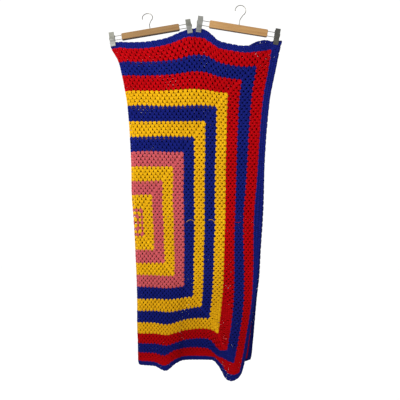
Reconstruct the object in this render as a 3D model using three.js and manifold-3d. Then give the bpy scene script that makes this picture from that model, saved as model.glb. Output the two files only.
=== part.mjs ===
// A crochet afghan blanket, folded in half down its middle and hung by its top edge from two clip hangers.
// Millimetres, +Z up, front towards -Y. The origin is in the plane of the clips' jaws, midway between the two
// hooks, at the height where they rest on what holds them.
import * as THREE from 'three';
import Module from 'manifold-3d';
import { mergeVertices } from 'three/addons/utils/BufferGeometryUtils.js';

const wasm = await Module();
wasm.setup();

// The flat blanket: rounds of crochet about one centre motif, which the fold runs through.
const ROUNDS = 63;
const ROUND_HEIGHT = 10.5;
const HALF = ROUNDS * ROUND_HEIGHT;
const THICKNESS = 4;
const PINCHED_THICKNESS = 2.5;
const PINCHED_LAYER_GAP = 0.8;

// How it hangs, by round up and down from the centre: its height, the folded edge, and the free edges of
// the front and back layers.
const HANG = [
  { round: -63, z: -1517, fold: -231, front: 201, back: 244 },
  { round: -60, z: -1500, fold: -234, front: 208, back: 248 },
  { round: -50, z: -1426, fold: -235, front: 227, back: 254 },
  { round: -40, z: -1337, fold: -238, front: 242, back: 261 },
  { round: -30, z: -1235, fold: -238, front: 259, back: 270 },
  { round: -20, z: -1136, fold: -241, front: 271, back: 281 },
  { round: -10, z: -1029, fold: -246, front: 280, back: 287 },
  { round: 0, z: -913, fold: -252, front: 289, back: 295 },
  { round: 10, z: -796, fold: -261, front: 296, back: 300 },
  { round: 20, z: -676, fold: -263, front: 300, back: 302 },
  { round: 30, z: -550, fold: -269, front: 308, back: 309 },
  { round: 40, z: -420, fold: -279, front: 320, back: 321 },
  { round: 45, z: -356, fold: -289, front: 329, back: 331 },
  { round: 50, z: -291, fold: -302, front: 343, back: 345 },
  { round: 55, z: -234, fold: -316, front: 355, back: 357 },
  { round: 60, z: -177, fold: -346, front: 366, back: 370 },
  { round: 63, z: -151, fold: -355, front: 376, back: 378 },
];

// How far the top edge stands above that height, across each layer from the fold (0) to the free edge (1):
// drawn up at the clips, sagging between them.
const TOP_EDGE = [
  { across: 0, front: 0, back: 0 },
  { across: 0.05, front: 6, back: 6 },
  { across: 0.1, front: 1, back: 1 },
  { across: 0.2, front: 3, back: 3 },
  { across: 0.27, front: 10, back: 10 },
  { across: 0.33, front: 20, back: 20 },
  { across: 0.41, front: 46, back: 46 },
  { across: 0.45, front: 60, back: 60 },
  { across: 0.49, front: 63, back: 63 },
  { across: 0.54, front: 59, back: 59 },
  { across: 0.59, front: 34, back: 36 },
  { across: 0.63, front: 8, back: 12 },
  { across: 0.71, front: -8, back: -6 },
  { across: 0.8, front: -18, back: -8 },
  { across: 0.85, front: -15, back: 8 },
  { across: 0.9, front: -8, back: 15 },
  { across: 0.94, front: 0, back: 8 },
  { across: 1, front: 4, back: 11 },
];
const TOP_EDGE_REACH = 115;
const TOP_EDGE_FADE = 1.3;

// How far each column of the front and back hangs below the height given above, at two thirds of the way
// down (the knee) and at the hem. The free corners droop most.
const KNEE_ROUND = -42;
const DROOP = [
  { across: 0, knee: 0, hem: -4, backHem: -6 },
  { across: 0.12, knee: 0, hem: -4, backHem: -8 },
  { across: 0.24, knee: 5, hem: 9, backHem: -4 },
  { across: 0.34, knee: -3, hem: -12, backHem: -10 },
  { across: 0.4, knee: -8, hem: -15, backHem: -14 },
  { across: 0.55, knee: -14, hem: -11, backHem: -14 },
  { across: 0.71, knee: -12, hem: -12, backHem: -14 },
  { across: 0.78, knee: -4, hem: 7, backHem: -12 },
  { across: 0.85, knee: 8, hem: 45, backHem: -12 },
  { across: 0.89, knee: 12, hem: 48, backHem: -12 },
  { across: 0.96, knee: 12, hem: 41, backHem: -14 },
  { across: 1, knee: 8, hem: 26, backHem: -18 },
];

// How far each layer stands from the plane of the jaws, towards the back, at four heights: its folds start
// near the middle and open towards the hem.
const FRONT_FOLDS = [
  { across: 0, top: -5, middle: -12, knee: -14, hem: -16 },
  { across: 0.12, top: -7, middle: -14, knee: -18, hem: -28 },
  { across: 0.24, top: -7, middle: -14, knee: -28, hem: -50 },
  { across: 0.34, top: -6, middle: -12, knee: -16, hem: -20 },
  { across: 0.4, top: -5, middle: -10, knee: 0, hem: 10 },
  { across: 0.55, top: -5, middle: -8, knee: 12, hem: 32 },
  { across: 0.71, top: -10, middle: -10, knee: 6, hem: 24 },
  { across: 0.78, top: -12, middle: -12, knee: -6, hem: -10 },
  { across: 0.85, top: -13, middle: -13, knee: -20, hem: -50 },
  { across: 0.89, top: -12, middle: -13, knee: -24, hem: -62 },
  { across: 0.96, top: -7, middle: -12, knee: -18, hem: -48 },
  { across: 1, top: -5, middle: -10, knee: -12, hem: -30 },
];
const BACK_FOLDS = [
  { across: 0, top: 5, middle: 12, knee: 14, hem: 16 },
  { across: 0.12, top: 5, middle: 8, knee: 8, hem: 6 },
  { across: 0.24, top: 5, middle: 6, knee: 0, hem: -10 },
  { across: 0.34, top: 5, middle: 6, knee: 8, hem: 12 },
  { across: 0.4, top: 5, middle: 8, knee: 18, hem: 34 },
  { across: 0.55, top: 6, middle: 10, knee: 30, hem: 56 },
  { across: 0.71, top: 9, middle: 12, knee: 26, hem: 50 },
  { across: 0.78, top: 9, middle: 12, knee: 18, hem: 30 },
  { across: 0.85, top: 7, middle: 10, knee: 8, hem: 8 },
  { across: 0.89, top: 7, middle: 9, knee: 4, hem: -4 },
  { across: 0.96, top: 6, middle: 8, knee: 6, hem: 4 },
  { across: 1, top: 5, middle: 8, knee: 10, hem: 14 },
];

// The two hangers: where the middle of each bar is, its turn in the plane of the blanket (degrees, positive
// with its right end low) and how far its top leans back.
const HANGERS = [
  { name: 'left', x: -184, z: -100, roll: -9.6, lean: 20 },
  { name: 'right', x: 191, z: -91, roll: 9.2, lean: 0 },
];
const BAR_LENGTH = 250;
const BAR_HEIGHT = 32;
const BAR_DEPTH = 13;
const BAR_CORNER = 5;
const BAR_BEVEL = 1.5;

const SEAT_CLEARANCE = 0.3;
const HOOK_WIRE = 3.6;
const HOOK_RADIUS = 22.5;
const HOOK_CENTRE = { x: -4, z: 78 };
const HOOK_START_DEG = -50;
const HOOK_END_DEG = 192;
const HOOK_NECK_Z = 38;
const HOOK_SEAT_DEPTH = 10;
const HOOK_POINT_STEP = 12;
const HOOK_STEPS = 40;

const RAIL_WIRE = 3;
const RAIL_SPACING = 20;
const RAIL_REACH = 53;
const RAIL_BEND = 5;
const RAIL_SEAT_DEPTH = 12;
const RAIL_POINT_STEP = 10;
const RAIL_STEPS = 40;

const CLIP_WIDTH = 22;
const CLIP_HEIGHT = 66;
const CLIP_FROM_BAR = 30;
const JAW_BELOW_BAR = 42;
const PLATE = 1.2;
const FLANGE_DEPTH = 2.4;
const FLANGE_FROM = 12;
const SPRING_RADIUS = 5;
const SPRING_LENGTH = 8;
const JAW_CLEARANCE = 0.5;
const JAW_REACH = PINCHED_THICKNESS + PINCHED_LAYER_GAP / 2 + JAW_CLEARANCE;

// Inner face of one clip plate, from the jaw's tip up to the handle: its distance from the clip's middle.
const PLATE_PROFILE = [
  { up: 0, out: JAW_REACH },
  { up: 4, out: JAW_REACH },
  { up: 9, out: 6.6 },
  { up: 20, out: 7 },
  { up: 27, out: 6 },
  { up: JAW_BELOW_BAR - RAIL_SPACING / 2, out: SPRING_RADIUS + SEAT_CLEARANCE },
  { up: 50, out: 8 },
  { up: CLIP_HEIGHT, out: 12 },
];

// Round each jaw the cloth is held flat, and beyond that the hold fades, sideways and downwards.
const PINCH_FLAT = 20;
const PINCH_FADE = 62;
const PINCH_BELOW = 12;
const PINCH_BELOW_FADE = 110;
const PINCH_SHARE = 9;
const PINCH_SHARE_POWER = 6;

// Where the blanket's mesh is fine: columns, as shares of the half width, and rounds, with their steps.
const LEFT_CLIP_TO = 0.08;
const MIDDLE_CLIPS = { from: 0.43, to: 0.57 };
const RIGHT_CLIP_FROM = 0.86;
const COLUMN_STEP = 36;
const COLUMN_STEP_AT_CLIPS = 20;
const COLUMN_STEP_BETWEEN_CLIPS = 10;
const TURN_HALF_WIDTH = 12;
const TURN_STEPS = 3;
const CLIPPED_ROUNDS = { to: 57, step: 1.2 };
const BODY_ROUNDS = { to: -50, step: 5.4 };
const HEM_ROUND_STEP = 3.3;
const SLOPE_STEP = 0.5;

const yarn = new THREE.MeshStandardMaterial({ name: 'yarn', color: 0xb01018, roughness: 0.95, metalness: 0 });
const wood = new THREE.MeshStandardMaterial({ name: 'wood', color: 0xc79a62, roughness: 0.5, metalness: 0 });
const wire = new THREE.MeshStandardMaterial({ name: 'wire', color: 0xc8c8c4, roughness: 0.25, metalness: 1 });
const steel = new THREE.MeshStandardMaterial({ name: 'steel', color: 0x8f8f88, roughness: 0.35, metalness: 1 });

const radians = THREE.MathUtils.degToRad;
const { clamp, lerp, smoothstep } = THREE.MathUtils;

// The value of one column of a table at a place between its rows: a smooth curve that never overshoots them.
function readTable(rows, place, column, at) {
  const last = rows.length - 1;
  const rise = (i) => (rows[i + 1][column] - rows[i][column]) / (rows[i + 1][place] - rows[i][place]);
  const slope = (i) => {
    if (i === 0) return rise(0);
    if (i === last) return rise(last - 1);
    const before = rise(i - 1);
    const after = rise(i);
    return before * after > 0 ? (2 * before * after) / (before + after) : 0;
  };
  let i = 0;
  while (i < last - 1 && rows[i + 1][place] < at) i += 1;
  const span = rows[i + 1][place] - rows[i][place];
  const t = clamp((at - rows[i][place]) / span, 0, 1);
  const ease = t * t * (3 - 2 * t);
  return lerp(rows[i][column], rows[i + 1][column], ease)
    + span * t * (1 - t) * ((1 - t) * slope(i) - t * slope(i + 1));
}

// A layer's fold depth at a height, from its four levels.
function foldDepth(folds, across, round) {
  const levels = [
    { round: -ROUNDS, depth: readTable(folds, 'across', 'hem', across) },
    { round: KNEE_ROUND, depth: readTable(folds, 'across', 'knee', across) },
    { round: 0, depth: readTable(folds, 'across', 'middle', across) },
    { round: ROUNDS, depth: readTable(folds, 'across', 'top', across) },
  ];
  return readTable(levels, 'round', 'depth', round);
}

// A layer's height at a place: the row's height, with the top edge's rise and the lower columns' droop.
function layerHeight(side, across, round) {
  const below = (ROUNDS - round) * ROUND_HEIGHT;
  const rise = readTable(TOP_EDGE, 'across', side, across)
    * Math.exp(-((below / TOP_EDGE_REACH) ** TOP_EDGE_FADE));
  const droop = readTable(
    [
      { round: -ROUNDS, drop: readTable(DROOP, 'across', side === 'front' ? 'hem' : 'backHem', across) },
      { round: KNEE_ROUND, drop: side === 'front' ? readTable(DROOP, 'across', 'knee', across) : 0 },
      { round: 0, drop: 0 },
      { round: ROUNDS, drop: 0 },
    ],
    'round',
    'drop',
    round,
  );
  return readTable(HANG, 'round', 'z', round) + rise - droop;
}

// Each jaw's middle at its tip, and the plane that the clip holds the cloth in.
const hangerTurn = (hanger) => new THREE.Euler(radians(-hanger.lean), radians(hanger.roll), 0, 'YXZ');
const jaws = HANGERS.flatMap((hanger) => [-1, 1].map((end) => {
  const across = end * (BAR_LENGTH / 2 + CLIP_FROM_BAR + CLIP_WIDTH / 2);
  const tip = new THREE.Vector3(across, 0, -JAW_BELOW_BAR).applyEuler(hangerTurn(hanger));
  return { hanger, x: hanger.x + tip.x, z: hanger.z + tip.z };
}));

// How firmly the nearest clip holds the cloth at a place (0 to 1), and the depth of the plane it is held in.
function pinchAt(x, z) {
  let held = 0;
  let depth = 0;
  let weight = 0;
  for (const jaw of jaws) {
    const aside = Math.abs(x - jaw.x);
    const under = jaw.z - z;
    const hold = (1 - smoothstep(aside, PINCH_FLAT, PINCH_FADE))
      * (1 - smoothstep(under, PINCH_BELOW, PINCH_BELOW_FADE));
    const roll = radians(jaw.hanger.roll);
    const up = Math.max((x - jaw.x) * Math.sin(roll) + (z - jaw.z) * Math.cos(roll), -PINCH_BELOW);
    const share = 1 / (1 + (aside / PINCH_SHARE) ** PINCH_SHARE_POWER);
    held = Math.max(held, hold);
    depth += share * up * Math.tan(radians(jaw.hanger.lean));
    weight += share;
  }
  return { held, depth: depth / weight };
}

// A point of one layer's middle surface, before the turn at the fold. `turn` is the fold's radius.
function layerPoint(side, round, across, turn) {
  const start = readTable(HANG, 'round', 'fold', round) + turn;
  const x = lerp(start, readTable(HANG, 'round', side, round), across);
  const z = layerHeight(side, across, round);
  const folds = side === 'front' ? FRONT_FOLDS : BACK_FOLDS;
  const away = side === 'front' ? -1 : 1;
  const pinch = pinchAt(x, z);
  const pinched = pinch.depth + away * (PINCHED_THICKNESS + PINCHED_LAYER_GAP) / 2;
  return new THREE.Vector3(x, lerp(foldDepth(folds, across, round), pinched, pinch.held), z);
}

// A point of the blanket's middle surface. `along` runs from the back's free edge (-HALF) round the fold (0)
// to the front's free edge (HALF), and `round` up from the centre.
function middleSurface(along, round) {
  const front = layerPoint('front', round, 0, 0);
  const back = layerPoint('back', round, 0, 0);
  const turn = (back.y - front.y) / 2;
  const quarter = (turn * Math.PI) / 2;
  const distance = Math.abs(along);
  if (distance >= quarter) {
    const across = (distance - quarter) / (HALF - quarter);
    return layerPoint(along > 0 ? 'front' : 'back', round, across, turn);
  }
  const angle = along / turn;
  const height = lerp(back.z, front.z, (1 + Math.sin(angle)) / 2);
  const inset = turn * (1 - Math.cos(angle));
  return new THREE.Vector3(front.x + inset, front.y + turn * (1 - Math.sin(angle)), height);
}

// The blanket's two faces at a place.
function faces(along, round) {
  const place = middleSurface(along, round);
  const right = Math.min(along + SLOPE_STEP, HALF);
  const left = Math.max(along - SLOPE_STEP, -HALF);
  const upper = Math.min(round + SLOPE_STEP / ROUND_HEIGHT, ROUNDS);
  const lower = Math.max(round - SLOPE_STEP / ROUND_HEIGHT, -ROUNDS);
  const sideways = middleSurface(right, round).sub(middleSurface(left, round));
  const upwards = middleSurface(along, upper).sub(middleSurface(along, lower));
  const normal = sideways.cross(upwards).normalize();
  const half = lerp(THICKNESS, PINCHED_THICKNESS, pinchAt(place.x, place.z).held) / 2;
  return {
    outer: place.clone().addScaledVector(normal, half),
    inner: place.clone().addScaledVector(normal, -half),
  };
}

// Evenly spaced values from `from` to `to`, without the last, no further apart than `step`.
function spaced(from, to, step) {
  const count = Math.ceil(Math.abs(to - from) / step);
  return Array.from({ length: count }, (_, i) => lerp(from, to, i / count));
}

// The columns of one layer, as distances from the fold.
function layerColumns() {
  return [
    ...spaced(TURN_HALF_WIDTH, LEFT_CLIP_TO * HALF, COLUMN_STEP_AT_CLIPS),
    ...spaced(LEFT_CLIP_TO * HALF, MIDDLE_CLIPS.from * HALF, COLUMN_STEP),
    ...spaced(MIDDLE_CLIPS.from * HALF, MIDDLE_CLIPS.to * HALF, COLUMN_STEP_BETWEEN_CLIPS),
    ...spaced(MIDDLE_CLIPS.to * HALF, RIGHT_CLIP_FROM * HALF, COLUMN_STEP),
    ...spaced(RIGHT_CLIP_FROM * HALF, HALF, COLUMN_STEP_AT_CLIPS),
    HALF,
  ];
}

function blanket() {
  const layer = layerColumns();
  const turn = spaced(-TURN_HALF_WIDTH, TURN_HALF_WIDTH, TURN_HALF_WIDTH / TURN_STEPS).slice(1);
  const columns = [...layer.map((distance) => -distance).reverse(), ...turn, ...layer];
  const rounds = [
    ...spaced(ROUNDS, CLIPPED_ROUNDS.to, CLIPPED_ROUNDS.step),
    ...spaced(CLIPPED_ROUNDS.to, BODY_ROUNDS.to, BODY_ROUNDS.step),
    ...spaced(BODY_ROUNDS.to, -ROUNDS, HEM_ROUND_STEP),
    -ROUNDS,
  ];
  const across = columns.length;
  const down = rounds.length;
  const positions = [];
  for (const face of ['outer', 'inner']) {
    for (const round of rounds) {
      for (const along of columns) positions.push(...faces(along, round)[face].toArray());
    }
  }
  const outer = (row, column) => row * across + column;
  const inner = (row, column) => down * across + outer(row, column);
  const index = [];
  const quad = (a, b, c, d) => index.push(a, b, c, a, c, d);
  for (let row = 0; row < down - 1; row += 1) {
    for (let column = 0; column < across - 1; column += 1) {
      quad(outer(row, column), outer(row + 1, column), outer(row + 1, column + 1), outer(row, column + 1));
      quad(inner(row, column), inner(row, column + 1), inner(row + 1, column + 1), inner(row + 1, column));
    }
    quad(outer(row, 0), inner(row, 0), inner(row + 1, 0), outer(row + 1, 0));
    const end = across - 1;
    quad(outer(row, end), outer(row + 1, end), inner(row + 1, end), inner(row, end));
  }
  for (let column = 0; column < across - 1; column += 1) {
    quad(outer(0, column), outer(0, column + 1), inner(0, column + 1), inner(0, column));
    const hem = down - 1;
    quad(outer(hem, column), inner(hem, column), inner(hem, column + 1), outer(hem, column + 1));
  }
  const geometry = new THREE.BufferGeometry();
  geometry.setAttribute('position', new THREE.Float32BufferAttribute(positions, 3));
  geometry.setIndex(index);
  return geometry;
}

// Solids for joining and cutting.
function toSolid(geometry) {
  const bare = geometry.clone();
  bare.deleteAttribute('normal');
  bare.deleteAttribute('uv');
  const merged = mergeVertices(bare, 1e-4);
  return new wasm.Manifold(new wasm.Mesh({
    numProp: 3,
    vertProperties: Float32Array.from(merged.attributes.position.array),
    triVerts: Uint32Array.from(merged.index.array),
  }));
}

function toGeometry(solid) {
  const mesh = solid.getMesh();
  const geometry = new THREE.BufferGeometry();
  geometry.setAttribute('position', new THREE.BufferAttribute(mesh.vertProperties, 3));
  geometry.setIndex(new THREE.BufferAttribute(mesh.triVerts, 1));
  return geometry;
}

// Round wire along a list of points in the hanger's own plane.
function bentWire(points, diameter, steps) {
  const places = points.map(({ x, z }) => new THREE.Vector3(x, 0, z));
  const path = new THREE.CatmullRomCurve3(places, false, 'centripetal');
  const section = new THREE.Shape().absarc(0, 0, diameter / 2, 0, 2 * Math.PI);
  return new THREE.ExtrudeGeometry(section, { steps, curveSegments: 4, extrudePath: path, bevelEnabled: false });
}

const arcPoints = (centre, radius, fromDeg, toDeg, count) => Array.from({ length: count + 1 }, (_, i) => {
  const angle = radians(lerp(fromDeg, toDeg, i / count));
  return { x: centre.x + radius * Math.cos(angle), z: centre.z + radius * Math.sin(angle) };
});

function hook() {
  const foot = BAR_HEIGHT / 2 - HOOK_SEAT_DEPTH;
  const stem = spaced(foot, HOOK_NECK_Z, HOOK_POINT_STEP).map((z) => ({ x: 0, z }));
  const bend = arcPoints(HOOK_CENTRE, HOOK_RADIUS, HOOK_START_DEG, HOOK_END_DEG, 12);
  return bentWire([...stem, { x: 0, z: HOOK_NECK_Z }, ...bend], HOOK_WIRE, HOOK_STEPS);
}

// A rail leaves one end of the bar, passes through the clip and comes back.
function rail(end) {
  const level = RAIL_SPACING / 2;
  const bendAt = BAR_LENGTH / 2 + RAIL_REACH - RAIL_BEND;
  const foot = BAR_LENGTH / 2 - RAIL_SEAT_DEPTH;
  const run = spaced(foot, bendAt, RAIL_POINT_STEP).map((x) => ({ x, z: level }));
  const upperBend = arcPoints({ x: bendAt, z: level - RAIL_BEND }, RAIL_BEND, 90, 0, 3);
  const upperHalf = [...run, ...upperBend];
  const lowerHalf = upperHalf.map(({ x, z }) => ({ x, z: -z })).reverse();
  const points = [...upperHalf, ...lowerHalf].map(({ x, z }) => ({ x: end * x, z }));
  return bentWire(points, RAIL_WIRE, RAIL_STEPS);
}

function drill(radius, depth) {
  return new THREE.CylinderGeometry(radius + SEAT_CLEARANCE, radius + SEAT_CLEARANCE, depth, 12);
}

function bar() {
  const halfLength = BAR_LENGTH / 2 - BAR_BEVEL;
  const halfHeight = BAR_HEIGHT / 2 - BAR_BEVEL;
  const corner = BAR_CORNER - BAR_BEVEL;
  const outline = new THREE.Shape()
    .moveTo(-halfLength + corner, -halfHeight)
    .lineTo(halfLength - corner, -halfHeight)
    .absarc(halfLength - corner, -halfHeight + corner, corner, -Math.PI / 2, 0)
    .lineTo(halfLength, halfHeight - corner)
    .absarc(halfLength - corner, halfHeight - corner, corner, 0, Math.PI / 2)
    .lineTo(-halfLength + corner, halfHeight)
    .absarc(-halfLength + corner, halfHeight - corner, corner, Math.PI / 2, Math.PI)
    .lineTo(-halfLength, -halfHeight + corner)
    .absarc(-halfLength + corner, -halfHeight + corner, corner, Math.PI, 1.5 * Math.PI);
  const depth = BAR_DEPTH - 2 * BAR_BEVEL;
  const board = new THREE.ExtrudeGeometry(outline, {
    depth,
    curveSegments: 3,
    bevelThickness: BAR_BEVEL,
    bevelSize: BAR_BEVEL,
    bevelSegments: 1,
  });
  board.translate(0, 0, -depth / 2).rotateX(Math.PI / 2);

  const stemHole = drill(HOOK_WIRE / 2, 2 * (HOOK_SEAT_DEPTH + SEAT_CLEARANCE)).rotateX(Math.PI / 2);
  let solid = toSolid(board).subtract(toSolid(stemHole.translate(0, 0, BAR_HEIGHT / 2)));
  for (const end of [-1, 1]) {
    for (const level of [-1, 1]) {
      const hole = drill(RAIL_WIRE / 2, 2 * (RAIL_SEAT_DEPTH + SEAT_CLEARANCE)).rotateZ(Math.PI / 2);
      hole.translate((end * BAR_LENGTH) / 2, 0, (level * RAIL_SPACING) / 2);
      solid = solid.subtract(toSolid(hole));
    }
  }
  return toGeometry(solid);
}

// A band that follows the plate's profile, between two distances out from its inner face, starting a
// little above the jaw where asked.
function plateBand(nearest, furthest, width, from) {
  const rows = PLATE_PROFILE.filter(({ up }) => up >= from);
  const outline = new THREE.Shape([
    ...rows.map(({ up, out }) => new THREE.Vector2(out + nearest, up)),
    ...rows.map(({ up, out }) => new THREE.Vector2(out + furthest, up)).reverse(),
  ]);
  const band = new THREE.ExtrudeGeometry(outline, { depth: width, bevelEnabled: false });
  band.translate(0, 0, -width / 2);
  const outward = new THREE.Vector3(0, 1, 0);
  const upward = new THREE.Vector3(0, 0, 1);
  const sideways = new THREE.Vector3(1, 0, 0);
  return band.applyMatrix4(new THREE.Matrix4().makeBasis(outward, upward, sideways));
}

// One stamped plate of a clip, its long sides turned in to stiffen it. Its inner face looks towards -Y.
function clipPlate() {
  let solid = toSolid(plateBand(0, PLATE, CLIP_WIDTH, 0));
  for (const side of [-1, 1]) {
    const flange = plateBand(-FLANGE_DEPTH, PLATE / 2, PLATE, FLANGE_FROM);
    flange.translate((side * (CLIP_WIDTH - PLATE)) / 2, 0, 0);
    solid = solid.add(toSolid(flange));
  }
  return toGeometry(solid);
}

// The coiled spring round the lower rail, which the two plates turn on.
function spring() {
  const ring = new THREE.Shape().absarc(0, 0, SPRING_RADIUS, 0, 2 * Math.PI);
  ring.holes.push(new THREE.Path().absarc(0, 0, RAIL_WIRE / 2 + SEAT_CLEARANCE, 0, 2 * Math.PI, true));
  const coil = new THREE.ExtrudeGeometry(ring, { depth: SPRING_LENGTH, curveSegments: 8, bevelEnabled: false });
  return coil.translate(0, 0, -SPRING_LENGTH / 2).rotateY(Math.PI / 2);
}

function addMesh(parent, name, geometry, material) {
  const mesh = new THREE.Mesh(geometry, material);
  mesh.name = name;
  parent.add(mesh);
  return mesh;
}

function clip(hangerName, end) {
  const group = new THREE.Group();
  const name = `${hangerName}_hanger_${end < 0 ? 'left' : 'right'}_clip`;
  addMesh(group, `${name}_back_plate`, clipPlate(), steel);
  addMesh(group, `${name}_front_plate`, clipPlate(), steel).rotation.z = Math.PI;
  addMesh(group, `${name}_spring`, spring(), wire).position.z = JAW_BELOW_BAR - RAIL_SPACING / 2;
  group.position.set(end * (BAR_LENGTH / 2 + CLIP_FROM_BAR + CLIP_WIDTH / 2), 0, -JAW_BELOW_BAR);
  return group;
}

// A hanger stands so that its jaws' tips lie in the plane of the origin.
function hanger(placed) {
  const group = new THREE.Group();
  addMesh(group, `${placed.name}_hanger_bar`, bar(), wood);
  addMesh(group, `${placed.name}_hanger_hook`, hook(), wire);
  for (const end of [-1, 1]) {
    addMesh(group, `${placed.name}_hanger_${end < 0 ? 'left' : 'right'}_rail`, rail(end), wire);
    group.add(clip(placed.name, end));
  }
  group.rotation.copy(hangerTurn(placed));
  group.position.set(placed.x, JAW_BELOW_BAR * Math.sin(radians(placed.lean)), placed.z);
  return group;
}

const part = new THREE.Group();
addMesh(part, 'afghan', blanket(), yarn);
for (const placed of HANGERS) part.add(hanger(placed));
part.updateMatrixWorld(true);

export default part;
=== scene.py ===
"""A crochet afghan blanket, folded in half and hung from two clip hangers: its looks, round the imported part.

The blanket's folds repeat the part's own tables, in millimetres. Every stitch of its 63 rounds is made here
on those folds, as yarn with a real thickness, one piece for each band of colour.
"""

import math

import bpy
import numpy as np
from mathutils import Euler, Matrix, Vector


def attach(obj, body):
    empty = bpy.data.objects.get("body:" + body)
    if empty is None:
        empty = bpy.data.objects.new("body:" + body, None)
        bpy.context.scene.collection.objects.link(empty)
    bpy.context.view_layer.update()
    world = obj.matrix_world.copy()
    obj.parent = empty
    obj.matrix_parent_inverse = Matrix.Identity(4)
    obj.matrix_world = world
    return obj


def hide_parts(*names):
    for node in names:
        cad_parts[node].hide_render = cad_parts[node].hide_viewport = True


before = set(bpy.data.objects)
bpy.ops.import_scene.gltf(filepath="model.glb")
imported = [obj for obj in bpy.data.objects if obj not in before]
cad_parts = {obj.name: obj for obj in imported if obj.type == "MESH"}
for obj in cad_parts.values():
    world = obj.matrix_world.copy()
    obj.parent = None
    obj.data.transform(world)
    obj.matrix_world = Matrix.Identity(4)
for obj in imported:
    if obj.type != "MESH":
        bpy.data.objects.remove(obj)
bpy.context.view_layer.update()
scene = bpy.context.scene

MM = 0.001
BODY = "root"

# The flat blanket, as in the part.
ROUNDS = 63
ROUND_HEIGHT = 10.5
HALF = ROUNDS * ROUND_HEIGHT
PINCHED_THICKNESS = 2.5
PINCHED_LAYER_GAP = 0.8

# How it hangs: round, height, folded edge, front's free edge, back's free edge.
HANG = np.array([
    (-63, -1517, -231, 201, 244),
    (-60, -1500, -234, 208, 248),
    (-50, -1426, -235, 227, 254),
    (-40, -1337, -238, 242, 261),
    (-30, -1235, -238, 259, 270),
    (-20, -1136, -241, 271, 281),
    (-10, -1029, -246, 280, 287),
    (0, -913, -252, 289, 295),
    (10, -796, -261, 296, 300),
    (20, -676, -263, 300, 302),
    (30, -550, -269, 308, 309),
    (40, -420, -279, 320, 321),
    (45, -356, -289, 329, 331),
    (50, -291, -302, 343, 345),
    (55, -234, -316, 355, 357),
    (60, -177, -346, 366, 370),
    (63, -151, -355, 376, 378),
], float).T
HANG_ROUND, HANG_Z, HANG_FOLD, HANG_FRONT, HANG_BACK = HANG

# The top edge's rise: place across the layer, front, back. Then how far below it fades, and how steeply.
TOP_EDGE = np.array([
    (0, 0, 0),
    (0.05, 6, 6),
    (0.1, 1, 1),
    (0.2, 3, 3),
    (0.27, 10, 10),
    (0.33, 20, 20),
    (0.41, 46, 46),
    (0.45, 60, 60),
    (0.49, 63, 63),
    (0.54, 59, 59),
    (0.59, 34, 36),
    (0.63, 8, 12),
    (0.71, -8, -6),
    (0.8, -18, -8),
    (0.85, -15, 8),
    (0.9, -8, 15),
    (0.94, 0, 8),
    (1, 4, 11),
], float).T
TOP_EDGE_REACH = 115
TOP_EDGE_FADE = 1.3

# The droop: place across, at the knee of the front, at its hem, at the back's hem.
KNEE_ROUND = -42
HEM_TO_TOP = np.array([-ROUNDS, KNEE_ROUND, 0, ROUNDS], float)
DROOP = np.array([
    (0, 0, -4, -6),
    (0.12, 0, -4, -8),
    (0.24, 5, 9, -4),
    (0.34, -3, -12, -10),
    (0.4, -8, -15, -14),
    (0.55, -14, -11, -14),
    (0.71, -12, -12, -14),
    (0.78, -4, 7, -12),
    (0.85, 8, 45, -12),
    (0.89, 12, 48, -12),
    (0.96, 12, 41, -14),
    (1, 8, 26, -18),
], float).T

# Fold depths: place across, at the top, the middle, the knee and the hem.
FRONT_FOLDS = np.array([
    (0, -5, -12, -14, -16),
    (0.12, -7, -14, -18, -28),
    (0.24, -7, -14, -28, -50),
    (0.34, -6, -12, -16, -20),
    (0.4, -5, -10, 0, 10),
    (0.55, -5, -8, 12, 32),
    (0.71, -10, -10, 6, 24),
    (0.78, -12, -12, -6, -10),
    (0.85, -13, -13, -20, -50),
    (0.89, -12, -13, -24, -62),
    (0.96, -7, -12, -18, -48),
    (1, -5, -10, -12, -30),
], float).T
BACK_FOLDS = np.array([
    (0, 5, 12, 14, 16),
    (0.12, 5, 8, 8, 6),
    (0.24, 5, 6, 0, -10),
    (0.34, 5, 6, 8, 12),
    (0.4, 5, 8, 18, 34),
    (0.55, 6, 10, 30, 56),
    (0.71, 9, 12, 26, 50),
    (0.78, 9, 12, 18, 30),
    (0.85, 7, 10, 8, 8),
    (0.89, 7, 9, 4, -4),
    (0.96, 6, 8, 6, 4),
    (1, 5, 8, 10, 14),
], float).T

# The two hangers, as in the part: the bar's middle, its turn and how far its top leans back. The colour of
# its wood is multiplied by its tone: painted shade on the left bar and painted light on the right one.
HANGERS = {
    "left": {"x": -184, "z": -100, "roll": -9.6, "lean": 20, "tone": 0.8},
    "right": {"x": 191, "z": -91, "roll": 9.2, "lean": 0, "tone": 1.3},
}
BAR_LENGTH = 250
CLIP_FROM_BAR = 30
CLIP_WIDTH = 22
JAW_BELOW_BAR = 42
# How far beside and below a jaw the cloth is pinched flat, and where it's free again. The last two say how
# steeply a jaw's plane gives way to the next one's.
PINCH_FLAT = 20
PINCH_FADE = 62
PINCH_BELOW = 12
PINCH_BELOW_FADE = 110
PINCH_SHARE = 9
PINCH_SHARE_POWER = 6

# The bands of colour, from the centre: name, colour, rounds.
BANDS = [
    ("band_01_yellow", "yellow", (2, 4, 6, 7, 8, 9, 10)),
    ("band_02_pink", "pink", (1, 3, 5, 11, 12, 13, 14, 15)),
    ("band_03_yellow", "yellow", range(16, 21)),
    ("band_04_pink", "pink", range(21, 26)),
    ("band_05_blue", "blue", range(26, 31)),
    ("band_06_yellow", "yellow", range(31, 36)),
    ("band_07_blue", "blue", range(36, 41)),
    ("band_08_yellow", "yellow", range(41, 46)),
    ("band_09_red", "red", range(46, 51)),
    ("band_10_blue", "blue", range(51, 56)),
    ("band_11_red", "red", range(56, 61)),
    ("border_blue", "blue", range(61, 64)),
]

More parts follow.
